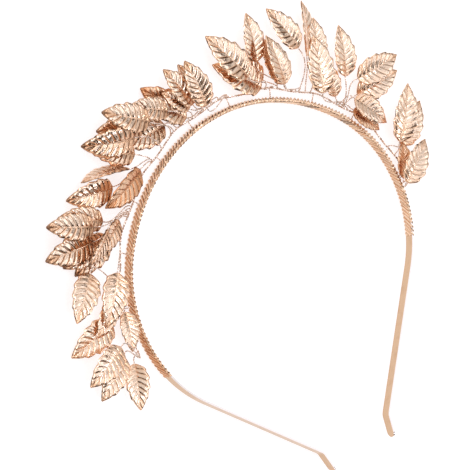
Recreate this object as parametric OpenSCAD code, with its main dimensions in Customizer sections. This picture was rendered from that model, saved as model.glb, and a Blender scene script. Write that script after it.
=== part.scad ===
// Leaf crown: a bent flat metal headband bound with thin wire, a twisted wire vine
// tied along its outer side, and stamped leaves standing off the vine in layered sprigs.
// The crown lies on its side. The band's plane is level, +Y runs from the tips to the top
// of the head, +X to the wearer's side with the fewer leaves, and z = 0 is the surface.

/* [Headband] */
// Width of the flat strip, measured along Z
strip_w = 3.8; // [3:0.1:6]
// Thickness of the strip
strip_t = 0.7; // [0.5:0.1:1.2]
// Radius of the strip's middle line over the crown of the head
crown_r = 70; // [60:1:80]
// Radius of the strip's middle line down the sides of the head
side_r = 48; // [42:1:55]
// Turn of the crown arc from the top to the left side
crown_turn_left = 52; // [45:0.5:56]
// Turn of the crown arc from the top to the right side
crown_turn_right = 50.5; // [45:0.5:56]
// Turn of each side arc
side_turn = 80; // [70:1:84]
// Length of the straight left leg
leg_left = 53; // [40:1:60]
// Length of the straight right leg
leg_right = 56; // [40:1:60]
// Inside radius of the outward bend at each tip
bend_r = 3; // [2:0.5:6]
// Angle of the outward bend at each tip
bend_turn = 30; // [15:1:45]
// Length of each tip past its bend, to the middle of its round end
tip_len = 6; // [3:0.5:10]

/* [Binding wire] */
// Diameter of the wire wound round the strip
bind_d = 0.3; // [0.2:0.05:0.6]
// Gap between the strip and the winding
bind_gap = 0.1; // [0.05:0.05:0.2]
// Length of strip bound on the left of the top
bound_left = 112; // [90:1:118]
// Length of strip bound on the right of the top
bound_right = 117; // [90:1:118]

/* [Vine] */
// Diameter of the twisted vine wire
vine_d = 0.8; // [0.6:0.1:1.2]
// Diameter of a twisted leaf stem or tie
stem_d = 0.6; // [0.5:0.1:1]
// Distance from the strip's middle line out to the vine
vine_out = 4.2; // [3:0.1:7]
// Gap left between a tie and the winding, and between a stem and its leaf
seat_gap = 0.25; // [0.15:0.05:0.4]

/* [Leaves] */
// Width of a leaf as a share of its length
leaf_ratio = 0.53; // [0.4:0.01:0.6]
// Thickness of the stamped sheet
leaf_t = 0.35; // [0.3:0.05:0.5]
// Teeth along each edge of a leaf
teeth = 5; // [4:1:8]
// Depth of a tooth as a share of the leaf's half width
tooth_cut = 0.12; // [0.05:0.01:0.2]

/* [Hidden] */
bind_w = strip_w + 2 * (bind_gap + bind_d);
bind_t = strip_t + 2 * (bind_gap + bind_d);
mid_z = bind_w / 2;
degree = 180 / PI;
// A bent stretch runs this far into the stretches at its ends, and is this much slimmer all
// round, so that they join as one solid
weld = 0.1;
ease = 0.01;
// Middle of the crown's outline, which stands over the origin
outline_mid = [-3.5, -55.5];
// Where the vine is tied to the band, as along values: first tie, spacing and last tie
tie_first = -83;
tie_step = 18.5;
tie_last = 102;
// The vine wanders a little between its ties
vine_wave = 0.5;
vine_wave_len = 22;
vine_ring_step = 4;
vine_start = -100;
vine_end = 96;
wire_sides = 6;
stem_sides = 5;
stem_rings = 4;
// Length of stem that lies under its leaf
stem_grip = 1.5;
// A leaf's half width follows t^base_power * (1 - t)^tip_power from its base to its tip
base_power = 0.54;
tip_power = 0.8;
widest = base_power / (base_power + tip_power);
// Turn of a leaf's midrib from base to tip, and the crown of each half leaf
leaf_curl = 20;
leaf_crown = 0.07;
// A tooth's point is drawn this share of a tooth towards the tip
tooth_lean = 0.35;
// Places across a leaf, from its right edge over the midrib to its left edge
ACROSS = [-1, -0.5, 0, 0.5, 1];

// Where each leaf stands. along is measured on the strip's middle line from the top of the
// head, towards +X when positive, out from that line, and lift from the surface. turn swings
// the leaf from straight out towards the left leg, pitch raises its tip, roll leans its left
// edge up, and fold is the angle by which each half leaf is raised from flat. Its stem
// leaves the vine a lead ahead of along.
ALONG = 0;
OUT = 1;
LIFT = 2;
TURN = 3;
PITCH = 4;
ROLL = 5;
LENGTH = 6;
FOLD = 7;
LEAD = 8;
// along, out, lift, turn, pitch, roll, length, fold, lead
LEAVES = [
    // sprig A
    [-72, 18.5, 6, 68, 6, 15, 19.5, 12, -3],
    [-86, 10, 2, 20, 0, 0, 21.5, 12, 3],
    [-71.5, 7, 6, 77, 0, 10, 20, 12, 6],
    [-80, 8, 3, 50, 5, 0, 15, 12, 9],
    [-84, 4.8, 4.4, 87, 0, 5, 14.5, 12, 6],
    [-93, 13, 7.5, 22, 0, 0, 19.5, 12, -7],
    [-96, 12, 5, 32, -3, 0, 18.5, 12, -4],
    [-100, 9, 4, 58, 10, 25, 17, 12, 2],
    // sprig B
    [-60, 20, 8.4, 15, 0, 0, 20, 12, 9],
    [-64, 18.5, 6.5, 30, -3, 0, 20.5, 12, 12],
    [-55, 8.5, 5.1, 68, 5, -25, 16, 12, 6],
    [-57, 15, 5, 12, 0, 0, 18, 12, 9],
    [-62, 13, 3.7, 44, 0, 0, 20, 12, 12],
    [-60, 10, 1.5, 60, 0, 0, 20.5, 12, 9],
    [-60, 15, 10, 68, 3, -40, 16, 12, 9],
    // sprig C
    [-39, 13, 6.5, 47, 0, 75, 21, 10, 9],
    [-46, 14.5, 4, 40, 0, -20, 20.5, 12, 9],
    [-36.5, 7.5, 5, 75, 0, -25, 21, 16, 6],
    // sprig D
    [-24.5, 17, 10, 35, 0, 0, 20.5, 12, 6],
    [-30.5, 17, 7.4, 47, -3, -25, 22.5, 12, 6],
    [-25, 15.5, 4.3, 48, 0, 0, 20, 12, 9],
    [-17, 8.8, 1.2, 75, 0, 0, 20, 12, 3],
    [-32.5, 11.5, 2.6, 32, 0, -10, 19, 12, 3],
    [-16, 13.5, 7.2, 47, 0, 0, 17, 12, 9],
    // sprig E
    [-9, 6.5, 1.8, 29, 0, -15, 21, 12, 12],
    [-10, 6, 4, 38, 0, 0, 18.5, 12, 12],
    [-8, 8.5, 5.9, 34, 0, 0, 13, 12, 6],
    [-6.5, 9, 6.5, 15, 3, 0, 18, 12, 12],
    [-2, 7.5, 4.5, 10, 3, 0, 17, 12, 12],
    [-3, 6, 8, 3, 5, -10, 19, 12, 12],
    // sprig F
    [17, 9.5, 7, 39, 0, 0, 23.5, 12, 9],
    [23.5, 5, 3.8, 63, 0, 0, 23, 12, 6],
    [26, 8, 1.8, 61, 0, 0, 19, 12, 6],
    // sprig G
    [22.5, 14.5, 5, 6, 3, 0, 18.5, 12, 9],
    [37, 19.5, 7, 47, -3, 0, 19.5, 12, 3],
    [33, 6, 4, 30, 0, 0, 19.5, 12, 6],
    [31, 5.5, 8, 23, 0, 10, 19.5, 12, 9],
    // sprig H
    [43, 18, 2.5, 18, 5, 30, 21, 12, 0],
    [45, 16, 5.4, 16, 3, 0, 16.5, 12, 0],
    [47.5, 4.2, 7.5, 24, 4, -10, 22, 12, 12],
    [56, 6.5, 2.5, 43, 0, 0, 15.5, 12, 6],
    [56.5, 14.5, 5, 29, 3, 0, 19.5, 12, 3],
    // sprig I
    [60, 15, 6.8, -39, 6, 0, 20, 12, 0],
    [63, 10.5, 4, -36, 8, 0, 20, 12, -3],
    // sprig J
    [61, 7.5, 7, -97, -3, 0, 17.5, 12, -3],
    [63, 4, 5.2, -96, -2, 0, 14, 12, -6],
    // sprig K
    [84, 7.5, 6, 44, 8, 0, 22.5, 12, -1],
    [86, 9, 3, 23, 0, 0, 20, 12, 1],
    [95.5, 2.2, 4.1, 64, 0, 0, 14, 12, 0],
    [97, 0.8, 6.6, 36, 0, 0, 19.5, 12, -1],
];

GROUPS = [["a", 8], ["b", 7], ["c", 3], ["d", 6], ["e", 6], ["f", 3], ["g", 4], ["h", 5], ["i", 2],
    ["j", 2], ["k", 4]];
LEAF_NAMES = [for (g = GROUPS) for (k = [1:g[1]]) str("leaf_", g[0], k)];

// The middle line of the strip, by distance along it from the top of the head

function crown_turn(s) = s < 0 ? crown_turn_left : crown_turn_right;

function crown_len(s) = crown_r * crown_turn(s) / degree;

function swing(s) = abs(s) <= crown_len(s)
    ? abs(s) / crown_r * degree
    : crown_turn(s) + (abs(s) - crown_len(s)) / side_r * degree;

function outward(s) = [sign(s) * sin(swing(s)), cos(swing(s)), 0];

function side_centre(s) = (crown_r - side_r) * [sign(s) * sin(crown_turn(s)), cos(crown_turn(s)), 0];

function spot(s, out, z) = [0, -crown_r, z]
    + (abs(s) <= crown_len(s) ? crown_r * outward(s) : side_centre(s) + side_r * outward(s))
    + out * outward(s);

module seated() {
    translate([-outline_mid.x, -outline_mid.y, 0]) children();
}

// Headband strip: each section is a bar of the strip's own size, w wide and t thick

module section(w, t) {
    translate([-t / 2, mid_z - w / 2]) square([t, w]);
}

module slim_section() {
    section(strip_w - 2 * ease, strip_t - 2 * ease);
}

module arc(radius, from, turn) {
    rotate([0, 0, 90 - from - turn]) rotate_extrude(angle = turn, $fn = 180)
        translate([radius, 0]) children();
}

module side_frame(turn) {
    translate([0, -crown_r, 0]) translate((crown_r - side_r) * [sin(turn), cos(turn), 0]) children();
}

// The part of the strip past the crown arc, drawn on the +X side
module side_strip(turn, leg) {
    far = turn + side_turn;
    run_in = weld / side_r * degree;
    side_frame(turn) {
        arc(side_r, turn - run_in, side_turn + 2 * run_in) slim_section();
        rotate([0, 0, 90 - far]) translate([side_r, 0, 0]) leg_and_tip(leg);
    }
}

// The leg runs along -Y from its arc, and the tip swings out towards +X
module leg_and_tip(leg) {
    middle_r = bend_r + strip_t / 2;
    run_in = weld / middle_r * degree;
    translate([-strip_t / 2, -leg, mid_z - strip_w / 2]) cube([strip_t, leg, strip_w]);
    translate([middle_r, -leg, 0]) {
        rotate([0, 0, 180 - run_in]) rotate_extrude(angle = bend_turn + 2 * run_in, $fn = 96)
            translate([middle_r, 0]) slim_section();
        rotate([0, 0, bend_turn]) translate([-middle_r, 0, 0]) tip();
    }
}

module tip() {
    translate([-strip_t / 2, -tip_len, mid_z - strip_w / 2]) cube([strip_t, tip_len, strip_w]);
    translate([-strip_t / 2, -tip_len, mid_z]) rotate([0, 90, 0])
        cylinder(h = strip_t, r = strip_w / 2, $fn = 48);
}

// The crown arc, from the left side arc over the top to the right one
module crown_arc() {
    translate([0, -crown_r, 0]) arc(crown_r, -crown_turn_left, crown_turn_left + crown_turn_right)
        children();
}

module band() {
    color("burlywood") seated() {
        crown_arc() section(strip_w, strip_t);
        side_strip(crown_turn_right, leg_right);
        mirror([1, 0, 0]) side_strip(crown_turn_left, leg_left);
    }
}

// Binding: the close winding as one hollow sleeve that the strip passes through

module sleeve_section(slimmer) {
    hollow = 2 * (bind_gap + slimmer);
    difference() {
        section(bind_w - 2 * slimmer, bind_t - 2 * slimmer);
        section(strip_w + hollow, strip_t + hollow);
    }
}

module side_sleeve(turn, bound) {
    run_in = weld / side_r * degree;
    side_part = (bound - crown_r * turn / degree) / side_r * degree;
    side_frame(turn) arc(side_r, turn - run_in, side_part + run_in) sleeve_section(ease);
}

module binding() {
    color("sandybrown") seated() {
        crown_arc() sleeve_section(0);
        side_sleeve(crown_turn_right, bound_right);
        mirror([1, 0, 0]) side_sleeve(crown_turn_left, bound_left);
    }
}

// Leaves

function leaf_half(t) = pow(t / widest, base_power) * pow((1 - t) / (1 - widest), tip_power);

function is_tooth(i) = i % 2 == 1;

// A point on the upper face, in the leaf's own frame: base at the origin, tip along +X
function leaf_point(i, v, len, fold) =
    let (
        rows = 2 * teeth,
        t = i / rows,
        half = len * leaf_ratio / 2 * leaf_half(t) * (is_tooth(i) ? 1 : 1 - tooth_cut * abs(v)),
        bend_radius = len / leaf_curl * degree,
        rise = leaf_curl * (0.5 - t),
        lean = is_tooth(i) ? tooth_lean * abs(v) / rows : 0
    )
    [
        bend_radius * (sin(leaf_curl / 2) - sin(rise)) + lean * len,
        v * half,
        bend_radius * (cos(rise) - cos(leaf_curl / 2)) + half * (abs(v) * tan(fold)
            + leaf_crown * sin(180 * abs(v)))
    ];

function leaf_face(len, fold, drop) = concat(
    [for (i = [1:2 * teeth - 1]) for (v = ACROSS) leaf_point(i, v, len, fold) - [0, 0, drop]],
    [leaf_point(0, 0, len, fold) - [0, 0, drop], leaf_point(2 * teeth, 0, len, fold) - [0, 0, drop]]
);

module leaf_blade(len, fold) {
    rows = 2 * teeth;
    cols = len(ACROSS);
    face_count = (rows - 1) * cols + 2;
    at = function (side, i, j) side * face_count
        + (i == 0 ? face_count - 2 : i == rows ? face_count - 1 : (i - 1) * cols + j);
    upper = concat(
        [for (j = [0:cols - 2]) [at(0, 0, j), at(0, 1, j + 1), at(0, 1, j)]],
        [for (i = [1:rows - 2]) for (j = [0:cols - 2]) each [
            [at(0, i, j), at(0, i, j + 1), at(0, i + 1, j + 1)],
            [at(0, i, j), at(0, i + 1, j + 1), at(0, i + 1, j)]
        ]],
        [for (j = [0:cols - 2]) [at(0, rows - 1, j), at(0, rows - 1, j + 1), at(0, rows, j)]]
    );
    lower = [for (f = upper) [f[2] + face_count, f[1] + face_count, f[0] + face_count]];
    right_rim = [for (i = [0:rows - 1]) each [
        [at(0, i, 0), at(0, i + 1, 0), at(1, i + 1, 0)],
        [at(0, i, 0), at(1, i + 1, 0), at(1, i, 0)]
    ]];
    left_rim = [for (i = [0:rows - 1]) each [
        [at(0, i + 1, cols - 1), at(0, i, cols - 1), at(1, i, cols - 1)],
        [at(0, i + 1, cols - 1), at(1, i, cols - 1), at(1, i + 1, cols - 1)]
    ]];
    polyhedron(
        points = concat(leaf_face(len, fold, 0), leaf_face(len, fold, leaf_t)),
        faces = concat(upper, lower, right_rim, left_rim),
        convexity = 6
    );
}

function heading(row) = atan2(outward(row[ALONG]).y, outward(row[ALONG]).x) + row[TURN];

module leaf(row) {
    color("wheat") seated() translate(spot(row[ALONG], row[OUT], row[LIFT]))
        rotate([0, 0, heading(row)]) rotate([0, -row[PITCH], 0]) rotate([row[ROLL], 0, 0])
            leaf_blade(row[LENGTH], row[FOLD]);
}

// A point of a leaf's own frame, where the leaf stands
function rolled(p, a) = [p.x, p.y * cos(a) - p.z * sin(a), p.y * sin(a) + p.z * cos(a)];

function pitched(p, a) = [p.x * cos(a) - p.z * sin(a), p.y, p.x * sin(a) + p.z * cos(a)];

function headed(p, a) = [p.x * cos(a) - p.y * sin(a), p.x * sin(a) + p.y * cos(a), p.z];

function on_leaf(row, p) = spot(row[ALONG], row[OUT], row[LIFT])
    + headed(pitched(rolled(p, row[ROLL]), row[PITCH]), heading(row));

// Vine, ties and stems: twisted wires drawn as plain round ones

function unit(v) = v / norm(v);

function ring(p, dir, d, sides) =
    let (
        across = unit(cross(dir, abs(unit(dir).z) > 0.9 ? [1, 0, 0] : [0, 0, 1])),
        up = unit(cross(across, dir))
    )
    [for (k = [0:sides - 1]) p + d / 2 * (cos(360 * k / sides) * across + sin(360 * k / sides) * up)];

module wire(path, d, sides) {
    last = len(path) - 1;
    dirs = [for (i = [0:last]) path[min(i + 1, last)] - path[max(i - 1, 0)]];
    rings = [for (i = [0:last]) each ring(path[i], dirs[i], d, sides)];
    walls = [for (i = [0:last - 1]) for (k = [0:sides - 1])
        let (a = i * sides + k, b = i * sides + (k + 1) % sides)
            each [[a, b, b + sides], [a, b + sides, a + sides]]];
    ends = [[for (k = [0:sides - 1]) sides - 1 - k], [for (k = [0:sides - 1]) last * sides + k]];
    polyhedron(points = rings, faces = concat(walls, ends), convexity = 8);
}

function wave(s) = vine_wave * sin(360 * s / vine_wave_len);

function vine_point(s) = spot(s, vine_out + wave(s), mid_z + wave(s + vine_wave_len / 4));

function curve(p, t) = pow(1 - t, 3) * p[0] + 3 * t * pow(1 - t, 2) * p[1]
    + 3 * t * t * (1 - t) * p[2] + t * t * t * p[3];

module stem(row) {
    under = -leaf_t - seat_gap - stem_d / 2;
    joint = row[ALONG] + row[LEAD];
    foot = vine_point(joint);
    neck = on_leaf(row, [-stem_grip, 0, under]);
    reach = norm(neck - foot) / 3;
    axis = on_leaf(row, [1, 0, 0]) - on_leaf(row, [0, 0, 0]);
    climb = [0, 0, neck.z - foot.z];
    path = [foot, foot + reach * unit(outward(joint)) + climb, neck - reach * axis, neck];
    wire(
        concat([for (k = [0:stem_rings]) curve(path, k / stem_rings)],
            [on_leaf(row, [stem_grip, 0, under + stem_grip * sin(leaf_curl / 2)])]),
        stem_d, stem_sides);
}

module tie(s) {
    outer_face = bind_t / 2 + seat_gap;
    wire([vine_point(s), spot(s, outer_face, mid_z)], stem_d, stem_sides);
}

module vine() {
    color("peru") seated() {
        wire([for (s = [vine_start:vine_ring_step:vine_end]) vine_point(s)], vine_d, wire_sides);
        for (s = [tie_first:tie_step:tie_last]) tie(min(s, vine_end - vine_d));
        for (row = LEAVES) stem(row);
    }
}

band();
binding();
vine();
for (k = [0:len(LEAVES) - 1]) {
    leaf(LEAVES[k]);
}
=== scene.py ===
"""Looks of the leaf crown: a wire-bound headband whose vine carries sprigs of stamped leaves.

Everything is in metres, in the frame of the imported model. Sizes are written in millimetres.
"""

import logging
import math
from dataclasses import dataclass, field
from enum import Enum
from typing import Callable, Sequence

import bpy
import numpy as np
from mathutils import Matrix, Vector


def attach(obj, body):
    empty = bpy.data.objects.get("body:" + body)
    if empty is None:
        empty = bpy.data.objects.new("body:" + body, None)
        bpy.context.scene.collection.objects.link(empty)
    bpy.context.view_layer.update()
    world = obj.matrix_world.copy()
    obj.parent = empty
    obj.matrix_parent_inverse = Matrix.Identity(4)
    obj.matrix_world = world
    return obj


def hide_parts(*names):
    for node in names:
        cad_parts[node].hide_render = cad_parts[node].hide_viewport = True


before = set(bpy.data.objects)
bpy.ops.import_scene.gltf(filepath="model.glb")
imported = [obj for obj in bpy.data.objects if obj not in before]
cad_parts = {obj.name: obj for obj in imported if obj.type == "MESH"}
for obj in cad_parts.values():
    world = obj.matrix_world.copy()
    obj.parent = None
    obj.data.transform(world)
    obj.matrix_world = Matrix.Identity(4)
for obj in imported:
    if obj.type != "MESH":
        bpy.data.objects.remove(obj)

log = logging.getLogger("leaf_crown")

MM = 0.001
TAU = 2 * math.pi
Array = np.ndarray
Colour = tuple[float, float, float]
Pair = tuple[float, float]
Piece = bpy.types.Object
Socket = bpy.types.NodeSocket

TINY = 1e-6  # keeps a division away from zero


class Slot(Enum):
    """Names of the record's material slots."""

    BINDING = "binding_wire"
    VINE = "vine_wire"
    LEAF = "leaf_sheet"


# --- The line that the headband follows ---


@dataclass(frozen=True)
class BandLine:
    """The middle line of the strip, by distance along it from the top of the head, in mm.

    Attributes:
        crown_r, side_r: radius over the top of the head and at the sides.
        crown_turn_left, crown_turn_right: degrees at which the first gives way to the second.
        outline_mid: centre of the crown's outline, measured from the top of the middle line.
        mid_z: height of the middle line above the surface.
    """

    crown_r: float = 70.0
    side_r: float = 48.0
    crown_turn_left: float = 52.0
    crown_turn_right: float = 50.5
    outline_mid: Pair = (-3.5, -55.5)
    mid_z: float = 2.3

    def swing(self, s: Array) -> Array:
        """Finds which way is outward.

        Args:
            s: distances along the middle line.

        Returns:
            Angles from +Y to the outward direction, in radians, growing to both sides.
        """
        turn = np.radians(np.where(s < 0, self.crown_turn_left, self.crown_turn_right))
        far = np.abs(s) - self.crown_r * turn
        return np.where(far <= 0, np.abs(s) / self.crown_r, turn + far / self.side_r)

    def outward(self, s: Array) -> Array:
        """Unit vectors straight out from the middle line at s."""
        a = self.swing(s)
        return np.stack([np.sign(s) * np.sin(a), np.cos(a), np.zeros_like(a)], axis=-1)

    def spot(self, s: Array, out: Array, z: Array) -> Array:
        """Places in mm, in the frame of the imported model.

        Args:
            s: distance along the middle line, positive towards +X.
            out: distance outward from it.
            z: height above the surface.

        Returns:
            One row of x, y, z for each place.
        """
        s, out, z = (np.asarray(v, dtype=float) for v in np.broadcast_arrays(s, out, z))
        turn = np.radians(np.where(s < 0, self.crown_turn_left, self.crown_turn_right))
        side_centre = (self.crown_r - self.side_r) * np.stack(
            [np.sign(s) * np.sin(turn), np.cos(turn), np.zeros_like(s)], axis=-1
        )
        away = self.outward(s)
        on_crown = (np.abs(s) <= self.crown_r * turn)[..., None]
        place = np.where(on_crown, self.crown_r * away, side_centre + self.side_r * away)
        place = place + out[..., None] * away
        place[..., 0] -= self.outline_mid[0]
        place[..., 1] -= self.outline_mid[1] + self.crown_r
        place[..., 2] += z
        return place


BAND = BandLine()


# --- Modelling helpers ---


def ramp(past: Array, width: float | Array) -> Array:
    """Rises evenly from 0 to 1 while past goes from 0 to width."""
    return np.clip(past / width, 0, 1)


def bell(off: Array, width: float | Array) -> Array:
    """1 where off is 0, fading over about width to either side."""
    return np.exp(-((off / width) ** 2))


def valley(phase: Array, lowest: float) -> Array:
    """Falls from 1 at phase 0 to 0 at lowest, and rises back to 1 at phase 1."""
    return np.where(phase < lowest, 1 - phase / lowest, (phase - lowest) / (1 - lowest))


def direction(azimuth: float, elevation: float) -> Vector:
    """Unit vector at azimuth from +X and elevation above the floor, both in degrees."""
    a, e = math.radians(azimuth), math.radians(elevation)
    return Vector((math.cos(e) * math.cos(a), math.cos(e) * math.sin(a), math.sin(e)))


class Bench:
    """Small steps that every piece is made with."""

    @staticmethod
    def clear() -> None:
        """Leaves edit mode and deselects everything."""
        if bpy.context.object and bpy.context.object.mode != "OBJECT":
            bpy.ops.object.mode_set(mode="OBJECT")
        bpy.ops.object.select_all(action="DESELECT")

    @staticmethod
    def take(piece: Piece) -> None:
        """Makes piece the only selected object and the active one."""
        Bench.clear()
        piece.select_set(True)
        bpy.context.view_layer.objects.active = piece

    @staticmethod
    def mark(piece: Piece, name: str, values: Array) -> None:
        """Stores an attribute on the vertices of piece.

        Args:
            piece: the object to mark.
            name: the attribute's name.
            values: one number or one row of three for each vertex, in single precision.
        """
        kind, key = ("FLOAT", "value") if values.ndim == 1 else ("FLOAT_VECTOR", "vector")
        layer = piece.data.attributes.new(name, kind, "POINT")
        layer.data.foreach_set(key, values.ravel())

    @staticmethod
    def edit(piece: Piece, *steps: Callable[[], object]) -> None:
        """Runs steps in edit mode with all of piece selected.

        Args:
            piece: the object to edit.
            steps: calls to make, in order.
        """
        Bench.take(piece)
        bpy.ops.object.mode_set(mode="EDIT")
        bpy.ops.mesh.select_all(action="SELECT")
        for step in steps:
            step()
        bpy.ops.object.mode_set(mode="OBJECT")

    @staticmethod
    def copy(piece: Piece, name: str) -> Piece:
        """Copies an object together with its mesh.

        Args:
            piece: the object to copy.
            name: the name of the copy and of its mesh.

        Returns:
            The copy.
        """
        twin = piece.copy()
        twin.data = piece.data.copy()
        twin.name = twin.data.name = name
        bpy.context.collection.objects.link(twin)
        return twin

    @staticmethod
    def finish(
        piece: Piece,
        material: bpy.types.Material,
        slot: Slot,
        nodes: Sequence[str],
        smooth_under: float = 40.0,
    ) -> None:
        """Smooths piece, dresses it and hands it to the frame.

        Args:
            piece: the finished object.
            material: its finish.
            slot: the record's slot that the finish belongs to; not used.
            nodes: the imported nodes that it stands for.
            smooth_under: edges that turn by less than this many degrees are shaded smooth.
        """
        Bench.take(piece)
        bpy.ops.object.shade_smooth_by_angle(angle=math.radians(smooth_under))
        piece.data.materials.clear()
        piece.data.materials.append(material)
        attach(piece, "root")
        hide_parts(*nodes)
        Bench.clear()


# --- Finishes ---


@dataclass
class Wiring:
    """A node tree that nodes are added to, each joined up as it is added.

    Attributes:
        tree: the node tree.
    """

    tree: bpy.types.NodeTree

    def add(
        self, kind: str, inputs: dict[str | int, object] | None = None, **settings: object
    ) -> bpy.types.Node:
        """Adds a node.

        Args:
            kind: its type, without Blender's leading ShaderNode.
            inputs: by an input's name or number, the socket that feeds it or its own value.
            settings: values for the node's own properties.

        Returns:
            The node.
        """
        node = self.tree.nodes.new(f"ShaderNode{kind}")
        for name, value in settings.items():
            setattr(node, name, value)
        for name, given in (inputs or {}).items():
            if isinstance(given, Socket):
                self.tree.links.new(given, node.inputs[name])
            else:
                node.inputs[name].default_value = given
        return node

    def sums(self, operation: str, *terms: object) -> Socket:
        """The result of a Math node's operation on terms."""
        return self.add("Math", dict(enumerate(terms)), operation=operation).outputs[0]

    def axis(self, kind: str, letter: str) -> Socket:
        """One axis of a kind of texture coordinate, such as Object and X."""
        place = self.add("TexCoord").outputs[kind]
        return self.add("SeparateXYZ", {"Vector": place}).outputs[letter]

    def span(
        self, value: Socket, low: float, high: float, most: float = 1.0,
        **settings: object,
    ) -> Socket:
        """Rises evenly from 0 to most while value goes from low to high."""
        inputs = {"Value": value, "From Min": low, "From Max": high, "To Max": most}
        return self.add("MapRange", inputs, **settings).outputs[0]

    def mix(
        self, share: object, first: object, second: object, blend: str = "MIX"
    ) -> Socket:
        """Colour that goes from first to second with share, mixed as blend says."""
        inputs = {"Factor": share, "A": first, "B": second}
        return self.add("Mix", inputs, data_type="RGBA", blend_type=blend).outputs["Result"]


class Effects:
    """Node groups that several finishes share.

    Attributes:
        STAIN: weight of the cloudy, random staining that is added to the recess value, which
            holds the painted shade.
            HALO_FROM, DEEP_FROM, FADE: where the two darker colours, a
            painted reflection and a painted shade, begin to show, and over how much more
            staining and shade each of them comes in.
        FINER: how much finer the specks are than the stain.
        DULL: roughness that a full speck adds.
        CRINKLE_HIGH, GRAIN_HIGH: heights of the crinkles and the grain, in metres.
    """

    STAIN = 0.5
    HALO_FROM, DEEP_FROM, FADE = 0.25, 0.75, 0.5
    FINER = 6
    DULL = 0.05
    CRINKLE_HIGH, GRAIN_HIGH = 0.6 * MM, 0.12 * MM
    _made: dict[str, bpy.types.NodeTree] = {}

    @classmethod
    def worn_metal_and_painted_shade(cls) -> bpy.types.NodeTree:
        """Group that varies a metal's colour and gloss and gives it a fine dented grain.

        Returns:
            The group. Its colour goes from Bright by way of a painted reflection, Bright
            squared as of light bounced twice between metal faces, to PaintedShade, a painted
            shade, as the random staining and Recess, the painted shade of recesses, grow, and its
            crinkles are read from noise at Ripple.
        """
        if "worn_metal_and_painted_shade" in cls._made:
            return cls._made["worn_metal_and_painted_shade"]
        tree = bpy.data.node_groups.new("worn_metal_and_painted_shade", "ShaderNodeTree")
        for way, kinds in (
            ("INPUT", {"Bright": "Color", "PaintedShade": "Color", "Recess": "Float", "Gloss": "Float",
                       "Scale": "Float", "Grain": "Float", "Crinkle": "Float",
                       "Ripple": "Vector"}),
            ("OUTPUT", {"Color": "Color", "Roughness": "Float", "Normal": "Vector"}),
        ):
            for name, kind in kinds.items():
                tree.interface.new_socket(name, in_out=way, socket_type=f"NodeSocket{kind}")
        net = Wiring(tree)
        given, made = tree.nodes.new("NodeGroupInput").outputs, tree.nodes.new("NodeGroupOutput")
        place = net.add("TexCoord").outputs["Object"]
        cloud = net.add("TexNoise", {"Vector": place, "Scale": given["Scale"], "Detail": 4})
        # random cloudy staining plus Recess, which holds the painted shade
        stain_and_shade = net.sums("MULTIPLY_ADD", cloud.outputs["Fac"], cls.STAIN, given["Recess"])
        # painted reflection: Bright squared, as of light bounced twice between metal faces
        painted_reflection = net.mix(1, given["Bright"], given["Bright"], "MULTIPLY")
        colour = given["Bright"]
        # the colour darkens first to the painted reflection, then to the painted shade
        for lowest, darker in ((cls.HALO_FROM, painted_reflection), (cls.DEEP_FROM, given["PaintedShade"])):
            colour = net.mix(net.span(stain_and_shade, lowest, lowest + cls.FADE), colour, darker)
        finer = net.sums("MULTIPLY", given["Scale"], cls.FINER)
        specks = net.add("TexNoise", {"Vector": place, "Scale": finer, "Detail": 3})
        speck = specks.outputs["Fac"]
        dull = net.sums("MULTIPLY_ADD", speck, cls.DULL, given["Gloss"])
        ripple = net.add("TexNoise", {"Vector": given["Ripple"], "Scale": 1, "Detail": 2})
        normal = net.add("Bump", {
            "Strength": given["Crinkle"], "Distance": cls.CRINKLE_HIGH,
            "Height": ripple.outputs["Fac"],
        }).outputs["Normal"]
        normal = net.add("Bump", {
            "Strength": given["Grain"], "Distance": cls.GRAIN_HIGH, "Height": speck,
            "Normal": normal,
        }).outputs["Normal"]
        for name, result in (("Color", colour), ("Roughness", dull), ("Normal", normal)):
            tree.links.new(result, made.inputs[name])
        cls._made["worn_metal_and_painted_shade"] = tree
        return tree


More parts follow.
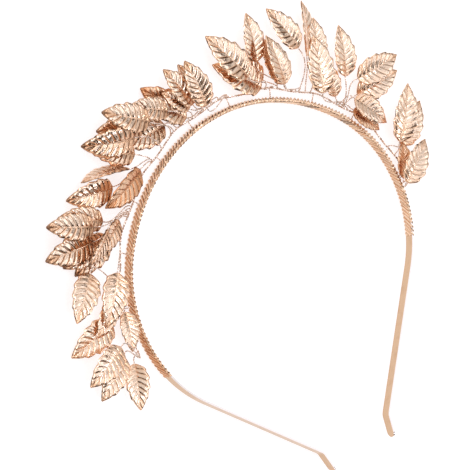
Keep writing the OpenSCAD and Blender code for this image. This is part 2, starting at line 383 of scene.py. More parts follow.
@dataclass(frozen=True)
class MetalFinish:
    """A plated metal with a little wear.

    Attributes:
        name: the material's name.
        bright: colour of the clean plating.
        painted_shade: colour painted into recesses as shade.
        gloss: roughness where it is smoothest.
        scale: size of its stains, as a noise scale.
        grain: strength of its fine dents.
        crinkle: strength of its wider ripples.
        stamped: whether its pieces carry the stamping's recess attribute, which holds painted
        shade, and its ripple attribute.
        edge: colour of the bare metal on cut edges that face up or down, if any.
        edge_level: how level a face is where bare metal begins to show and where it is whole.
        edge_y: the same by place, in mm: the bare edges are on the legs.
        left_side_shade: painted shade that makes the left side darker and warmer, as a recess
            value.
        left_side_shade_x: where that begins and where it is whole, in mm.
    """

    name: str
    bright: Colour
    painted_shade: Colour
    gloss: float
    scale: float
    grain: float
    crinkle: float = 0.0
    stamped: bool = False
    edge: Colour | None = None
    edge_level: Pair = (0.5, 0.8)
    edge_y: Pair = (-16.5, -17.5)
    left_side_shade: float = 0.0
    left_side_shade_x: Pair = (20, -50)

    def material(self) -> bpy.types.Material:
        """Makes the material.

        Returns:
            The material.
        """
        made = bpy.data.materials.new(self.name)
        made.use_nodes = True
        net = Wiring(made.node_tree)
        link = net.tree.links.new
        shader = net.tree.nodes["Principled BSDF"]
        shader.inputs["Metallic"].default_value = 1.0
        wear = net.add("Group", {
            "Bright": (*self.bright, 1), "PaintedShade": (*self.painted_shade, 1), "Gloss": self.gloss,
            "Scale": self.scale, "Grain": self.grain, "Crinkle": self.crinkle,
        }, node_tree=Effects.worn_metal_and_painted_shade())
        # stamped pieces bring painted shade in their recess attribute
        if self.stamped:
            recess = net.add("Attribute", attribute_name="recess")
            link(recess.outputs["Fac"], wear.inputs["Recess"])
            ripple = net.add("Attribute", attribute_name="ripple")
            link(ripple.outputs["Vector"], wear.inputs["Ripple"])
        # painted shade: the left side is painted darker and warmer, as the light falls there
        if self.left_side_shade:
            begin, whole = self.left_side_shade_x
            left_shade = net.span(net.axis("Object", "X"), begin * MM, whole * MM, self.left_side_shade)
            link(left_shade, wear.inputs["Recess"])
        colour = wear.outputs["Color"]
        if self.edge:
            cut = net.span(net.sums("ABSOLUTE", net.axis("Normal", "Z")), *self.edge_level)
            begin, whole = self.edge_y
            legs = net.span(net.axis("Object", "Y"), begin * MM, whole * MM)
            colour = net.mix(net.sums("MULTIPLY", cut, legs), colour, (*self.edge, 1))
        link(colour, shader.inputs["Base Color"])
        link(wear.outputs["Roughness"], shader.inputs["Roughness"])
        link(wear.outputs["Normal"], shader.inputs["Normal"])
        return made


# Each finish's second colour is painted shade, and its colour passes through a painted
# reflection.
STRIP_FINISH = MetalFinish(
    "satin_rose_strip", (0.63, 0.44, 0.29), (0.55, 0.37, 0.237), 0.07, 300, 0.1,
    edge=(0.62, 0.56, 0.53),
)
# the binding's left side is painted darker, as shade
BINDING_FINISH = MetalFinish(
    "bright_binding_wire", (0.83, 0.615, 0.45), (0.36, 0.175, 0.08), 0.05, 500, 0.2,
    left_side_shade=0.3,
)
VINE_FINISH = MetalFinish(
    "twisted_vine_wire", (0.84, 0.69, 0.59), (0.48, 0.34, 0.25), 0.16, 500, 0.2
)
# the leaves' dark second colour is painted shade, laid where the recess attribute marks
LEAF_FINISH = MetalFinish(
    "polished_leaf_sheet", (0.87, 0.67, 0.52), (0.20, 0.10, 0.055), 0.03, 350, 0.35, 0.35, True
)
# a second, darker copy of the leaf plating, painted as if in shade
SHADED_LEAF_FINISH = MetalFinish(
    "shaded_leaf_sheet", (0.76, 0.50, 0.33), (0.30, 0.13, 0.06), 0.2, 350, 0.35, 0.45, True
)


# --- Leaves ---


@dataclass(frozen=True)
class LeafPlace:
    """Where one leaf stands on the crown. Lengths in mm, angles in degrees.

    Attributes:
        node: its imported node.
        along, out, lift: its base: along the strip, outward from it, and above the surface.
        turn: its heading, anticlockwise from straight outward.
        pitch: how far its tip points up.
        roll: its turn about its own midrib.
        length: its length.
        lead: how far along the strip from its base its stem leaves the vine.
        fold: how far each half rises from the midrib.
    """

    node: str
    along: float
    out: float
    lift: float
    turn: float
    pitch: float
    roll: float
    length: float
    lead: float
    fold: float = 12

    def matrix(self) -> Matrix:
        """Finds the leaf's own frame: base at its origin, midrib along its X.

        Returns:
            The frame's turn and place, in mm.
        """
        away = BAND.outward(np.array(self.along))
        heading = math.atan2(away[1], away[0]) + math.radians(self.turn)
        return (
            Matrix.Translation(BAND.spot(self.along, self.out, self.lift).tolist())
            @ Matrix.Rotation(heading, 4, "Z")
            @ Matrix.Rotation(-math.radians(self.pitch), 4, "Y")
            @ Matrix.Rotation(math.radians(self.roll), 4, "X")
        )


# along, out, lift, turn, pitch, roll, length, lead and, where it isn't the usual one, fold
SPRIGS: dict[str, tuple[tuple[float, ...], ...]] = {
    "a": (
        (-72, 18.5, 6, 68, 6, 15, 19.5, -3),
        (-86, 10, 2, 20, 0, 0, 21.5, 3),
        (-71.5, 7, 6, 77, 0, 10, 20, 6),
        (-80, 8, 3, 50, 5, 0, 15, 9),
        (-84, 4.8, 4.4, 87, 0, 5, 14.5, 6),
        (-93, 13, 7.5, 22, 0, 0, 19.5, -7),
        (-96, 12, 5, 32, -3, 0, 18.5, -4),
        (-100, 9, 4, 58, 10, 25, 17, 2),
    ),
    "b": (
        (-60, 20, 8.4, 15, 0, 0, 20, 9),
        (-64, 18.5, 6.5, 30, -3, 0, 20.5, 12),
        (-55, 8.5, 5.1, 68, 5, -25, 16, 6),
        (-57, 15, 5, 12, 0, 0, 18, 9),
        (-62, 13, 3.7, 44, 0, 0, 20, 12),
        (-60, 10, 1.5, 60, 0, 0, 20.5, 9),
        (-60, 15, 10, 68, 3, -40, 16, 9),
    ),
    "c": (
        (-39, 13, 6.5, 47, 0, 75, 21, 9, 10),
        (-46, 14.5, 4, 40, 0, -20, 20.5, 9),
        (-36.5, 7.5, 5, 75, 0, -25, 21, 6, 16),
    ),
    "d": (
        (-24.5, 17, 10, 35, 0, 0, 20.5, 6),
        (-30.5, 17, 7.4, 47, -3, -25, 22.5, 6),
        (-25, 15.5, 4.3, 48, 0, 0, 20, 9),
        (-17, 8.8, 1.2, 75, 0, 0, 20, 3),
        (-32.5, 11.5, 2.6, 32, 0, -10, 19, 3),
        (-16, 13.5, 7.2, 47, 0, 0, 17, 9),
    ),
    "e": (
        (-9, 6.5, 1.8, 29, 0, -15, 21, 12),
        (-10, 6, 4, 38, 0, 0, 18.5, 12),
        (-8, 8.5, 5.9, 34, 0, 0, 13, 6),
        (-6.5, 9, 6.5, 15, 3, 0, 18, 12),
        (-2, 7.5, 4.5, 10, 3, 0, 17, 12),
        (-3, 6, 8, 3, 5, -10, 19, 12),
    ),
    "f": (
        (17, 9.5, 7, 39, 0, 0, 23.5, 9),
        (23.5, 5, 3.8, 63, 0, 0, 23, 6),
        (26, 8, 1.8, 61, 0, 0, 19, 6),
    ),
    "g": (
        (22.5, 14.5, 5, 6, 3, 0, 18.5, 9),
        (37, 19.5, 7, 47, -3, 0, 19.5, 3),
        (33, 6, 4, 30, 0, 0, 19.5, 6),
        (31, 5.5, 8, 23, 0, 10, 19.5, 9),
    ),
    "h": (
        (43, 18, 2.5, 18, 5, 30, 21, 0),
        (45, 16, 5.4, 16, 3, 0, 16.5, 0),
        (47.5, 4.2, 7.5, 24, 4, -10, 22, 12),
        (56, 6.5, 2.5, 43, 0, 0, 15.5, 6),
        (56.5, 14.5, 5, 29, 3, 0, 19.5, 3),
    ),
    "i": (
        (60, 15, 6.8, -39, 6, 0, 20, 0),
        (63, 10.5, 4, -36, 8, 0, 20, -3),
    ),
    "j": (
        (61, 7.5, 7, -97, -3, 0, 17.5, -3),
        (63, 4, 5.2, -96, -2, 0, 14, -6),
    ),
    "k": (
        (84, 7.5, 6, 44, 8, 0, 22.5, -1),
        (86, 9, 3, 23, 0, 0, 20, 1),
        (95.5, 2.2, 4.1, 64, 0, 0, 14, 0),
        (97, 0.8, 6.6, 36, 0, 0, 19.5, -1),
    ),
}


@dataclass(frozen=True)
class ShadeMarks:
    """Where shade is painted as dark colour on a stamped leaf, and how strongly.

    Attributes:
        groove_wide: width of the painted shade line in each groove, on the +Y half and on
        the other one, as shares of a pleat.
        rib, rib_off, rib_wide: strength beside the midrib, and its place and width across.
        lip: strength on the rolled edge.
        stem, stem_reach: strength at the stem, and how far along the leaf it fades.
        tip, tip_reach: strength at the tip, and how far back along the leaf it fades.
        usual, deepen: all of it changes with the stamping's depth as (usual * depth) ** deepen.
    """

    groove_wide: Pair = (0.15, 0.06)
    rib: float = 0.5
    rib_off: float = 0.06
    rib_wide: float = 0.03
    lip: float = 0.8
    stem: float = 0.5
    stem_reach: float = 0.35
    tip: float = 0.9
    tip_reach: float = 0.14
    usual: float = 0.75
    deepen: float = 1.5


@dataclass
class LeafStamping:
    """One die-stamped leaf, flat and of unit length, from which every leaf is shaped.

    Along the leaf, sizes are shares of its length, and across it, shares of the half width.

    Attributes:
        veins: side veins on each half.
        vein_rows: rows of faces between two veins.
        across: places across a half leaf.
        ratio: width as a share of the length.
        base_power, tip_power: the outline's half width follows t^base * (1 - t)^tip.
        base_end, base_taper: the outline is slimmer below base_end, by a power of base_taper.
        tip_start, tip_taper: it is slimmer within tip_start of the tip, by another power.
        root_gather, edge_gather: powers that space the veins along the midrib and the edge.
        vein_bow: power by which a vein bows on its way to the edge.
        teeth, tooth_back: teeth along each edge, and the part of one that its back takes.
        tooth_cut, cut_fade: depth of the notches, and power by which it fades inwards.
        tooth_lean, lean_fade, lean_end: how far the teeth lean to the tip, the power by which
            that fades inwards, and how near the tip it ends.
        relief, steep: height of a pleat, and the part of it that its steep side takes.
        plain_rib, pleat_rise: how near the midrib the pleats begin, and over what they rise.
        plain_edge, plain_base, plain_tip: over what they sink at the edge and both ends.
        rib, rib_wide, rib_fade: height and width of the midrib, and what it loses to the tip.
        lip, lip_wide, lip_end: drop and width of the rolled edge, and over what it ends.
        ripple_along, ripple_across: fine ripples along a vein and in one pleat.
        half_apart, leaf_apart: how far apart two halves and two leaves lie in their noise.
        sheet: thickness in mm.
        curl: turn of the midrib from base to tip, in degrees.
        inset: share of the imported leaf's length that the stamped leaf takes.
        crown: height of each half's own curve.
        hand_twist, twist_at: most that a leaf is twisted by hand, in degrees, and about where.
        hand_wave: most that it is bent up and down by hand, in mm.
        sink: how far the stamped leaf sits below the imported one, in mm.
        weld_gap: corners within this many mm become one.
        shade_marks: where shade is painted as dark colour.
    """

    veins: int = 9
    vein_rows: int = 9
    across: tuple[float, ...] = (0, 0.03, 0.06, 0.1, 0.18, 0.3, 0.45, 0.6, 0.75, 0.87, 0.95, 1)
    ratio: float = 0.53
    base_power: float = 0.54
    tip_power: float = 0.9
    base_end: float = 0.1
    base_taper: float = 0.3
    tip_start: float = 0.16
    tip_taper: float = 0.4
    root_gather: float = 0.8
    edge_gather: float = 1.3
    vein_bow: float = 1.15
    teeth: int = 5
    tooth_back: float = 0.72
    tooth_cut: float = 0.17
    cut_fade: int = 4
    tooth_lean: float = 0.012
    lean_fade: int = 6
    lean_end: float = 0.1
    relief: float = 0.011
    steep: float = 2 / 9
    plain_rib: float = 0.05
    pleat_rise: float = 0.12
    plain_edge: float = 0.14
    plain_base: float = 0.08
    plain_tip: float = 0.12
    rib: float = 0.004
    rib_wide: float = 0.04
    rib_fade: float = 0.6
    lip: float = 0.013
    lip_wide: float = 0.1
    lip_end: float = 0.05
    ripple_along: float = 2.2
    ripple_across: float = 2.2
    half_apart: float = 9.0
    leaf_apart: float = 40.0
    sheet: float = 0.35
    curl: float = 20.0
    inset: float = 0.985
    crown: float = 0.045
    hand_twist: float = 4.0
    twist_at: float = 0.4
    hand_wave: float = 0.05
    sink: float = 0.08
    weld_gap: float = 0.02
    shade_marks: ShadeMarks = ShadeMarks()
    _flat: Piece | None = field(default=None, init=False)
    _grid: dict[str, Array] = field(default_factory=dict, init=False)

    def half_width(self, t: Array) -> Array:
        """Half width of the smooth outline.

        Args:
            t: places along the leaf, from 0 at its base to 1 at its tip.

        Returns:
            The half width at each, as a share of the length.
        """
        widest = self.base_power / (self.base_power + self.tip_power)
        t = np.clip(t, 0, 1)
        spare = ramp(t, self.base_end) ** self.base_taper
        spare = spare * ramp(1 - t, self.tip_start) ** self.tip_taper
        return (
            self.ratio / 2 * spare * (t / widest) ** self.base_power
            * ((1 - t) / (1 - widest)) ** self.tip_power
        )

    def stamp(self) -> Piece:
        """Adds the flat grid that the leaves are shaped from, and works out its relief.

        Returns:
            The grid, to be removed when every leaf is shaped.
        """
        rows = self.veins * self.vein_rows
        side = np.array(self.across)
        columns = np.concatenate([-side[:0:-1], side])
        Bench.clear()
        bpy.ops.mesh.primitive_grid_add(
            x_subdivisions=rows, y_subdivisions=len(columns) - 1, size=1
        )
        flat = bpy.context.object
        flat.name = "leaf_stamping"
        at = np.empty((len(flat.data.vertices), 3))
        flat.data.vertices.foreach_get("co", at.ravel())
        at += 0.5
        row = np.rint(at[:, 0] * rows)
        v = columns[np.rint(at[:, 1] * (len(columns) - 1)).astype(int)]
        half, reach = np.sign(v), np.abs(v)
        root_t = 1 - (1 - row / rows) ** self.root_gather
        edge_t = 1 - (1 - row / rows) ** self.edge_gather

        notch = valley((edge_t * self.teeth) % 1.0, self.tooth_back)
        width = self.half_width(edge_t) * (1 - self.tooth_cut * notch * reach**self.cut_fade)
        lean = self.tooth_lean * (1 - notch) * reach**self.lean_fade
        lean = lean * ramp(1 - edge_t, self.lean_end)
        x = root_t + (edge_t - root_t) * reach**self.vein_bow + lean

        pleats = row / self.vein_rows
        phase = pleats % 1.0
        on_blade = ramp(reach - self.plain_rib, self.pleat_rise)
        on_blade = on_blade * ramp(1 - reach, self.plain_edge)
        ends = ramp(edge_t, self.plain_base) * ramp(1 - edge_t, self.plain_tip)
        rib = bell(reach, self.rib_wide) * (1 - self.rib_fade * root_t)
        rolled = ramp(reach - (1 - self.lip_wide), self.lip_wide) ** 2
        rolled *= ramp(edge_t, self.lip_end) * ramp(1 - edge_t, self.lip_end)
        pleat = self.relief * (valley(phase, self.steep) - 0.5) * on_blade

        # painted shade: dark colour in the grooves, beside the midrib, on the rolled edge, at the
        # stem and at the tip
        shade_marks = self.shade_marks
        groove = bell(phase - self.steep, np.where(v > 0, *shade_marks.groove_wide))
        recess = groove * on_blade + shade_marks.rib * bell(reach - shade_marks.rib_off, shade_marks.rib_wide)
        recess = (recess + shade_marks.lip * rolled) * ends
        recess += shade_marks.stem * (1 - ramp(root_t, shade_marks.stem_reach))
        recess += shade_marks.tip * (1 - ramp(1 - edge_t, shade_marks.tip_reach))
        ripple = np.stack(
            [reach * self.ripple_along, pleats * self.ripple_across, half * self.half_apart],
            axis=-1,
        )
        self._grid = {
            "x": x, "y": half * width * reach, "half": self.half_width(x),
            "lift": (pleat + self.rib * rib) * ends - self.lip * rolled,
            "recess": np.clip(recess, 0, 1).astype(np.float32),
            "ripple": ripple.astype(np.float32),
        }
        self._flat = flat
        return flat

    def shape(
        self, place: LeafPlace, depth: float, hand: np.random.Generator
    ) -> Piece:
        """Cuts one leaf from the stamping, folds and curls it, and puts it in its place.

        Args:
            place: where the leaf stands, and its length and fold.
            depth: how deeply it is stamped, as a share of the full relief.
            hand: source of the small twist that bending by hand leaves in it.

        Returns:
            The leaf, with its thickness.
        """
        grid, size = self._grid, place.length * self.inset
        leaf = Bench.copy(self._flat, f"{place.node}_stamped")
        twist, wave = hand.uniform(-1, 1, 2)
        # how dark the painted shade is, growing with the stamping's depth
        shade_strength = (self.shade_marks.usual * depth) ** self.shade_marks.deepen
        Bench.mark(leaf, "recess", np.clip(grid["recess"] * shade_strength, 0, 1))
        ripple = grid["ripple"].copy()
        ripple[:, 2] += hand.uniform(0, self.leaf_apart)
        Bench.mark(leaf, "ripple", ripple)

        half_curl = math.radians(self.curl) / 2
        bend = size / math.radians(self.curl)
        rise = 2 * half_curl * (0.5 - grid["x"])
        y, half = grid["y"] * size, np.maximum(grid["half"] * size, TINY)
        height = np.abs(y) * math.tan(math.radians(place.fold))
        height += half * self.crown * np.sin(math.pi * ramp(np.abs(y), half))
        height += grid["lift"] * size * depth
        twisted = math.tan(math.radians(self.hand_twist) * twist)
        height += y * twisted * (grid["x"] - self.twist_at)
        height += self.hand_wave * wave * np.sin(TAU * grid["x"]) - self.sink
        up = bend * (np.cos(rise) - math.cos(half_curl)) + height * np.cos(rise)
        x = bend * (math.sin(half_curl) - np.sin(rise)) - height * np.sin(rise)
        turn = np.array(place.matrix())
        corners = (np.stack([x, y, up], axis=-1) @ turn[:3, :3].T + turn[:3, 3]) * MM
        leaf.data.vertices.foreach_set("co", corners.ravel())
        leaf.data.update()
        Bench.edit(
            leaf,
            lambda: bpy.ops.mesh.remove_doubles(threshold=self.weld_gap * MM),
            lambda: bpy.ops.mesh.normals_make_consistent(inside=False),
        )
        if leaf.data.polygons[0].normal @ Vector(turn[:3, 2]) < 0:
            Bench.edit(leaf, lambda: bpy.ops.mesh.flip_normals())
        foil = leaf.modifiers.new("Foil", "SOLIDIFY")
        foil.thickness, foil.offset = self.sheet * MM, -1.0
        Bench.take(leaf)
        bpy.ops.object.modifier_apply(modifier=foil.name)
        return leaf


@dataclass
class Foliage:
    """Every leaf of the crown, each a piece of its own.

    Attributes:
        stamping: the stamping that all leaves are shaped from.
        seed: start of the random bends left by hand.
        shaded_look: leaves painted as if in shade, with a darker, warmer copy of the finish.
        depth: how deeply the leaves of each sprig are stamped, which also sets how dark their
        painted shade is, in the order of SPRIGS.
        smooth_under: edges of a leaf that turn by less than this many degrees look smooth.
    """

    stamping: LeafStamping = field(default_factory=LeafStamping)
    seed: int = 11
    shaded_look: frozenset[str] = frozenset(
        {"leaf_c3", "leaf_e1", "leaf_g3", "leaf_j2", "leaf_k3"}
    )
    depth: tuple[float, ...] = (1.0, 1.6, 1.3, 1.5, 1.2, 1.0, 0.9, 0.9, 0.9, 1.0, 0.9)
    smooth_under: float = 50.0

    @staticmethod
    def places() -> list[tuple[LeafPlace, int]]:
        """All leaves, sprig by sprig, each with the number of its sprig."""
        return [
            (LeafPlace(f"leaf_{sprig}{k}", *row), number)
            for number, (sprig, rows) in enumerate(SPRIGS.items())
            for k, row in enumerate(rows, 1)
        ]

    def build(self) -> None:
        """Shapes, dresses and seats the leaves."""
        flat = self.stamping.stamp()
        finish, shaded_look = LEAF_FINISH.material(), SHADED_LEAF_FINISH.material()
        hand = np.random.default_rng(self.seed)
        places = self.places()
        for place, sprig in places:
            leaf = self.stamping.shape(place, self.depth[sprig], hand)
            # leaves that lie in shade get the darker copy of the finish, painted shade
            leaf_look = shaded_look if place.node in self.shaded_look else finish
            Bench.finish(leaf, leaf_look, Slot.LEAF, [place.node], self.smooth_under)
        bpy.data.objects.remove(flat)
        log.info("leaves: %d pieces", len(places))


# --- Wires ---


def smooth_path(points: Array, count: int) -> Array:
    """A path of count places along the Bezier curve that has points as its control points."""
    t, order = np.linspace(0, 1, count)[:, None], len(points) - 1
    return sum(
        math.comb(order, k) * t**k * (1 - t) ** (order - k) * points[k] for k in range(order + 1)
    )


@dataclass
class WireBundle:
    """Wires drawn as curves of round section and made into one mesh.

    Attributes:
        name: the piece's name.
        sides: fineness of the round section, as Blender counts it.
    """

    name: str
    sides: int = 1
    _curve: Piece | None = field(default=None, init=False)

    def start(self) -> None:
        """Adds the empty curve that the wires are drawn in."""
        Bench.clear()
        bpy.ops.curve.primitive_nurbs_path_add()
        self._curve = bpy.context.object
        self._curve.data.splines.clear()
        self._curve.data.bevel_depth = MM
        self._curve.data.bevel_resolution = self.sides
        self._curve.data.use_fill_caps = True

    def draw(self, path: Array, thick: float) -> None:
        """Draws one wire.

        Args:
            path: its points, in mm.
            thick: its diameter in mm.
        """
        line = self._curve.data.splines.new("POLY")
        line.points.add(len(path) - 1)
        flat = np.concatenate([path * MM, np.ones((len(path), 1))], axis=1)
        line.points.foreach_set("co", flat.ravel())
        line.points.foreach_set("radius", np.full(len(path), thick / 2))

    def mesh(self) -> Piece:
        """Turns the drawn wires into one mesh.

        Returns:
            The piece.
        """
        Bench.take(self._curve)
        bpy.ops.object.convert(target="MESH")
        piece = bpy.context.object
        piece.name = piece.data.name = self.name
        Bench.edit(piece, lambda: bpy.ops.mesh.normals_make_consistent(inside=False))
        return piece


@dataclass
class Binding:
    """The wire wound round the strip: slanting ridges of three wires, wound side by side.

    Attributes:
        ridges: ridges wound at the same time.
        lead_left, lead_right: how far a ridge runs along the strip in one turn, at each end.
        left, right: ends of the winding along the strip, in mm.
        half_wide, half_thick: half sizes of the loop that the middle wire's centre follows.
        corner: radius of that loop's corners.
        wire: diameter of the middle wire of a ridge, in mm.
        wires: side, relative diameter and sink in mm of each wire of a ridge.
        wire_apart: how far apart a ridge's wires lie, as a share of the ridges' spacing.
        wander, wander_pace, wander_apart: how far a ridge strays to its side, as a share of a
            turn, and the phase of that in radians for each turn wound and each ridge.
        per_turn: places along a wire in one turn.
        pad, pad_at, pad_reach: how much thicker the winding is outside the crown, and the
            place and reach of that along the strip.
    """

    ridges: int = 5
    lead_left: float = 8.6
    lead_right: float = 7.6
    left: float = -112.0
    right: float = 117.0
    half_wide: float = 2.085
    half_thick: float = 0.55
    corner: float = 0.4
    wire: float = 0.43
    wires: tuple[tuple[int, float, float], ...] = ((-1, 0.72, 0.2), (0, 1.0, 0.0), (1, 0.72, 0.2))
    wire_apart: float = 0.2
    wander: float = 0.012
    wander_pace: float = 0.9
    wander_apart: float = 2.1
    per_turn: float = 36.4
    pad: float = 0.55
    pad_at: float = 22.0
    pad_reach: float = 60.0

    def loop(self, share: Array) -> Array:
        """Follows the loop round the strip: four straights, each with the corner after it.

        Args:
            share: shares of the way round.

        Returns:
            Two rows: how far out from the strip's middle line, and how far up, in mm.
        """
        wide, thick = self.half_wide - self.corner, self.half_thick - self.corner
        legs = (2 * wide, 2 * thick, 2 * wide, 2 * thick)
        bend = math.pi / 2 * self.corner
        at = (share % 1.0) * (sum(legs) + 4 * bend)
        place = np.zeros((len(at), 2))
        centre, aim, begin = np.array([-thick, -wide]), np.array([0.0, 1.0]), 0.0
        for leg in legs:
            off = np.array([-aim[1], aim[0]])
            along = (at - begin)[:, None]
            angle = np.maximum(along - leg, 0) / self.corner
            side = centre + aim * np.minimum(along, leg)
            side = side + self.corner * (off * np.cos(angle) + aim * np.sin(angle))
            place = np.where(along >= 0, side, place)
            centre, aim, begin = centre + aim * leg, -off, begin + leg + bend
        return place.T

    def turns(self, s: Array) -> Array:
        """Turns wound from the left end up to s, with the lead changing evenly between ends."""
        slope = (self.lead_right - self.lead_left) / (self.right - self.left)
        return np.log1p(slope * (s - self.left) / self.lead_left) / slope

    def build(self) -> None:
        """Winds, dresses and seats the binding."""
        bundle = WireBundle("wound_binding")
        bundle.start()
        whole = float(self.turns(np.array(self.right)))
        s = np.linspace(self.left, self.right, int(whole * self.per_turn))
        wound = self.turns(s)
        pad = self.pad * bell(s - self.pad_at, self.pad_reach)
        for ridge in range(self.ridges):
            stray = self.wander * np.sin(wound * self.wander_pace + self.wander_apart * ridge)
            for side, thick, sink in self.wires:
                shift = (ridge + self.wire_apart * side) / self.ridges
                out, up = self.loop(wound - shift + stray)
                out = out * (1 - sink / self.half_thick) + pad * ramp(out, self.half_thick)
                path = BAND.spot(s, out, BAND.mid_z + up * (1 - sink / self.half_wide))
                bundle.draw(path, self.wire * thick)
        piece = bundle.mesh()
        Bench.finish(piece, BINDING_FINISH.material(), Slot.BINDING, ["binding"])
        log.info("binding: %d faces", len(piece.data.polygons))


@dataclass
class Vine:
    """The twisted wire along the outer side of the band, its ties and the leaf stems.

    Attributes:
        begin, end: the vine's ends along the strip, in mm.
        places: places along it that its course is worked out at.
        out: its distance out from the strip's middle line.
        wave, wave_len: how far and how often it wanders.
        thick, lay: width of the twisted vine, and length of one full twist.
        stem_thick, stem_lay: the same for a leaf's stem.
        stem_places: places along a stem.
        tie_lay: length of one full twist of a tie, which is as thick as a stem.
        tie_first, tie_step, tie_last: where it is tied to the band.
        tie_out: how far out from the strip's middle line a tie ends.
        sheet, curl: the leaves' thickness, and their turn from base to tip in degrees.
        bite, grip: how far a stem's end reaches up to its leaf, and along it each way.
        per_twist: places along a strand in one full twist.
        upright: rise per mm of a path above which it is twisted about +X instead of +Z.
    """

    begin: float = -100.0
    end: float = 96.0
    places: int = 400
    out: float = 4.2
    wave: float = 0.5
    wave_len: float = 22.0
    thick: float = 0.8
    lay: float = 2.4
    stem_thick: float = 0.56
    stem_lay: float = 1.8
    stem_places: int = 24
    tie_lay: float = 1.6
    tie_first: float = -83.0
    tie_step: float = 18.5
    tie_last: float = 102.0
    tie_out: float = 0.95
    sheet: float = LeafStamping.sheet
    curl: float = LeafStamping.curl
    bite: float = 0.1
    grip: float = 1.5
    per_twist: int = 8
    upright: float = 0.9

    def point(self, s: Array) -> Array:
        """The vine's centre at s, which winds a little round its course."""
        turn = TAU * s / self.wave_len
        out, up = self.out + self.wave * np.sin(turn), BAND.mid_z + self.wave * np.cos(turn)
        return BAND.spot(s, out, up)

    def twist(self, bundle: WireBundle, path: Array, thick: float, lay: float) -> None:
        """Draws two strands twisted round path.

        Args:
            bundle: where they are drawn.
            path: centre of the pair, in mm.
            thick: width of the pair.
            lay: length of one full twist.
        """
        steps = np.linalg.norm(np.diff(path, axis=0), axis=1)
        run = np.concatenate([[0], np.cumsum(steps)])
        count = max(int(run[-1] / lay * self.per_twist), 4)
        at = np.linspace(0, run[-1], count)
        centre = np.stack([np.interp(at, run, path[:, k]) for k in range(3)], axis=-1)
        ahead = np.gradient(centre, axis=0)
        ahead /= np.linalg.norm(ahead, axis=1, keepdims=True)
        climbs = np.abs(ahead[:, 2:3]) > self.upright
        side = np.cross(np.where(climbs, [[1.0, 0, 0]], [[0, 0, 1.0]]), ahead)
        side /= np.linalg.norm(side, axis=1, keepdims=True)
        up = np.cross(ahead, side)
        strand = thick / 2
        for start in (0.0, math.pi):
            angle = (TAU * at / lay + start)[:, None]
            off = strand / 2 * (np.cos(angle) * side + np.sin(angle) * up)
            bundle.draw(centre + off, strand)

    def stem_path(self, place: LeafPlace) -> Array:
        """Lays the centre of a leaf's stem from the vine to under the leaf's base.

        Args:
            place: where the leaf stands.

        Returns:
            The stem's places in mm, one row each.
        """
        turn = np.array(place.matrix())
        under = -self.sheet - self.stem_thick / 2 + self.bite

        def on_leaf(x: float, z: float) -> Array:
            """A point of the leaf's own frame."""
            return turn[:3, :3] @ np.array([x, 0.0, z]) + turn[:3, 3]

        joint = place.along + place.lead
        foot = self.point(joint)
        neck = on_leaf(-self.grip, under)
        reach = np.linalg.norm(neck - foot) / 3
        climb = np.array([0, 0, neck[2] - foot[2]])
        leave = foot + reach * BAND.outward(np.array(joint)) + climb
        arrive = neck - reach * turn[:3, 0]
        path = smooth_path(np.array([foot, leave, arrive, neck]), self.stem_places)
        tail = on_leaf(self.grip, under + self.grip * math.sin(math.radians(self.curl) / 2))
        return np.vstack([path, tail])

    def build(self) -> None:
        """Twists, dresses and seats the vine."""
        bundle = WireBundle("twisted_vine")
        bundle.start()
        along = np.linspace(self.begin, self.end, self.places)
        self.twist(bundle, self.point(along), self.thick, self.lay)
        for s in np.arange(self.tie_first, self.tie_last + self.tie_step / 2, self.tie_step):
            s = min(s, self.end - self.thick)
            path = np.array([self.point(s), BAND.spot(s, self.tie_out, BAND.mid_z)])
            self.twist(bundle, path, self.stem_thick, self.tie_lay)
        for place, _ in Foliage.places():
            self.twist(bundle, self.stem_path(place), self.stem_thick, self.stem_lay)
        piece = bundle.mesh()
        Bench.finish(piece, VINE_FINISH.material(), Slot.VINE, ["vine"])
        log.info("vine: %d faces", len(piece.data.polygons))


# --- Headband ---


@dataclass
class Strip:
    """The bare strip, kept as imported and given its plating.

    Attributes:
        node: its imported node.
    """

    node: str = "band"

    def build(self) -> None:
        """Dresses the strip."""
        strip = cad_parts[self.node]
        strip.data.materials.clear()
        strip.data.materials.append(STRIP_FINISH.material())
        log.info("strip dressed")


# --- Studio ---


@dataclass(frozen=True)
class SoftBox:
    """One soft light.

    Attributes:
        name: its name.
        azimuth: direction from the crown, in degrees from +X.
        elevation: height above the floor, in degrees.
        away: distance in metres.
        size: width and height in metres.
        power: power in watts.
        tint: colour.
    """

    name: str
    azimuth: float
    elevation: float
    away: float
    size: Pair
    power: float
    tint: Colour = (0.94, 1.0, 1.13)

    def build(self) -> None:
        """Places the light, facing the origin."""
        back = direction(self.azimuth, self.elevation)
        bpy.ops.object.light_add(type="AREA", location=back * self.away)
        lamp = bpy.context.object
        lamp.name = self.name
        lamp.data.shape = "RECTANGLE"
        lamp.data.size, lamp.data.size_y = self.size
        lamp.data.energy = self.power
        lamp.data.color = self.tint
        lamp.rotation_euler = back.to_track_quat("Z", "Y").to_euler()


@dataclass(frozen=True)
class Shade:
    """A dark shape beside the tent, such as a stand, that the metal mirrors.

    Attributes:
        azimuth, elevation: its direction, in degrees.
        edge, core: cosines of the angles from it at which the tent is clear and fully dark.
    """

    azimuth: float
    elevation: float
    edge: float
    core: float


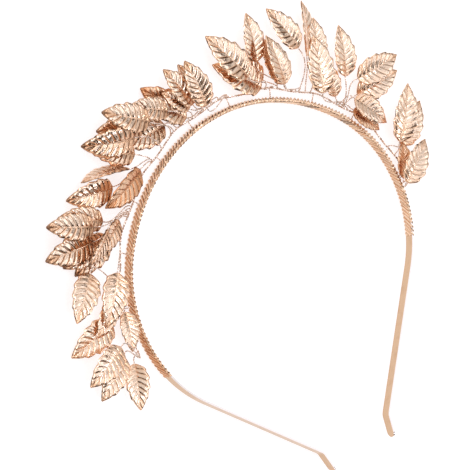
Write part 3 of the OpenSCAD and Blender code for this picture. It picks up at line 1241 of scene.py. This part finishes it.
@dataclass
class Studio:
    """Floor, lights and camera.

    Attributes:
        azimuth, elevation, roll: the camera's direction from the crown, in degrees.
        distance: from the camera to its target, in mm.
        focal: focal length in pixels of the frame.
        frame_width: width of the frame in pixels.
        sensor: width of the camera's sensor in mm.
        sees: nearest and farthest distance that the camera sees, in metres.
        target: point that it looks at, in mm.
        floor_half: half width of the floor in metres.
        floor_colour, floor_rough: the floor's colour and roughness.
        glow, glow_colour: strength and colour of the light that the floor gives off.
        tent: colour of the light that comes from all round.
        shade: colour of the dark shapes in it.
        boxes: the soft lights.
        shades: the dark shapes.
    """

    azimuth: float = 160.444
    elevation: float = 55.143
    roll: float = 81.698
    distance: float = 1200.156
    focal: float = 3304.66
    frame_width: float = 470.0
    sensor: float = 36.0
    sees: Pair = (0.05, 50)
    target: tuple[float, float, float] = (-8.179, 13.912, 2.5)
    floor_half: float = 3.0
    floor_colour: Colour = (0.4, 0.39, 0.39)
    floor_rough: float = 0.6
    glow: float = 0.78
    glow_colour: Colour = (1, 0.96, 0.96)
    tent: Colour = (0.87, 0.86, 0.87)
    shade: Colour = (0.09, 0.065, 0.05)
    boxes: tuple[SoftBox, ...] = (
        SoftBox("overhead", 0, 88, 0.9, (0.9, 0.9), 1.0),
        SoftBox("far_key", 340, 50, 1.0, (0.5, 0.3), 0.4),
        SoftBox("side_fill", 70, 35, 1.0, (0.4, 0.6), 0.45),
        *(
            SoftBox(name, azimuth, elevation, 1.0, (0.5, 0.12), 0.8, (0.944, 1.0, 1.13))
            for name, azimuth, elevation in (
                ("low_strip", 305, 28), ("high_strip", 100, 65), ("near_strip", 200, 72)
            )
        ),
    )
    shades: tuple[Shade, ...] = (
        Shade(277, 24, 0.80, 0.93),
        Shade(165, 25, 0.90, 0.97),
        Shade(20, 15, 0.92, 0.98),
        *(
            Shade(azimuth, elevation, 0.982, 0.995)
            for azimuth, elevation in ((352, 36), (300, 60), (40, 66), (190, 62))
        ),
    )

    def camera(self) -> None:
        """Adds the camera at the photograph's angle."""
        roll, back = math.radians(self.roll), direction(self.azimuth, self.elevation)
        level = (-back).cross(Vector((0, 0, 1))).normalized()
        upward = level.cross(-back)
        right = math.cos(roll) * level + math.sin(roll) * upward
        up = -math.sin(roll) * level + math.cos(roll) * upward
        bpy.ops.object.camera_add()
        camera = bpy.context.object
        turn = Matrix((right, up, back)).transposed().to_4x4()
        place = Matrix.Translation((Vector(self.target) + back * self.distance) * MM)
        camera.matrix_world = place @ turn
        camera.data.sensor_width = self.sensor
        camera.data.lens = self.focal * self.sensor / self.frame_width
        camera.data.clip_start, camera.data.clip_end = self.sees
        bpy.context.scene.camera = camera

    def floor(self) -> None:
        """Adds the pale surface that the crown lies on."""
        Bench.clear()
        bpy.ops.mesh.primitive_plane_add(size=2 * self.floor_half)
        floor = bpy.context.object
        floor.name = "floor"
        made = bpy.data.materials.new("pale_floor")
        made.use_nodes = True
        shader = made.node_tree.nodes["Principled BSDF"]
        shader.inputs["Base Color"].default_value = (*self.floor_colour, 1)
        shader.inputs["Roughness"].default_value = self.floor_rough
        shader.inputs["Emission Color"].default_value = (*self.glow_colour, 1)
        shader.inputs["Emission Strength"].default_value = self.glow
        floor.data.materials.append(made)

    def tent_light(self) -> None:
        """Sets the even light of a pale tent, with the dark shapes that stand round it."""
        world = bpy.data.worlds.new("light_tent")
        bpy.context.scene.world = world
        world.use_nodes = True
        net = Wiring(world.node_tree)
        aim = net.add("TexCoord").outputs["Generated"]
        light = net.add("RGB").outputs[0]
        light.default_value = (*self.tent, 1)
        for shade in self.shades:
            towards = direction(shade.azimuth, shade.elevation)
            facing = net.add("VectorMath", {0: aim, 1: towards}, operation="DOT_PRODUCT")
            cover = net.span(
                facing.outputs["Value"], shade.edge, shade.core, interpolation_type="SMOOTHSTEP"
            )
            light = net.mix(cover, light, (*self.shade, 1))
        net.tree.links.new(light, net.tree.nodes["Background"].inputs["Color"])
        bpy.context.scene.view_settings.view_transform = "Standard"

    def build(self) -> None:
        """Builds the studio."""
        self.floor()
        self.tent_light()
        for box in self.boxes:
            box.build()
        self.camera()
        Bench.clear()


def main() -> None:
    """Builds the crown's pieces in order, then the studio."""
    logging.basicConfig(level=logging.INFO, format="%(name)s: %(message)s")
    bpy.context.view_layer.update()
    Strip().build()
    Binding().build()
    Vine().build()
    Foliage().build()
    Studio().build()
    bpy.context.view_layer.update()


if __name__ == "__main__":
    main()
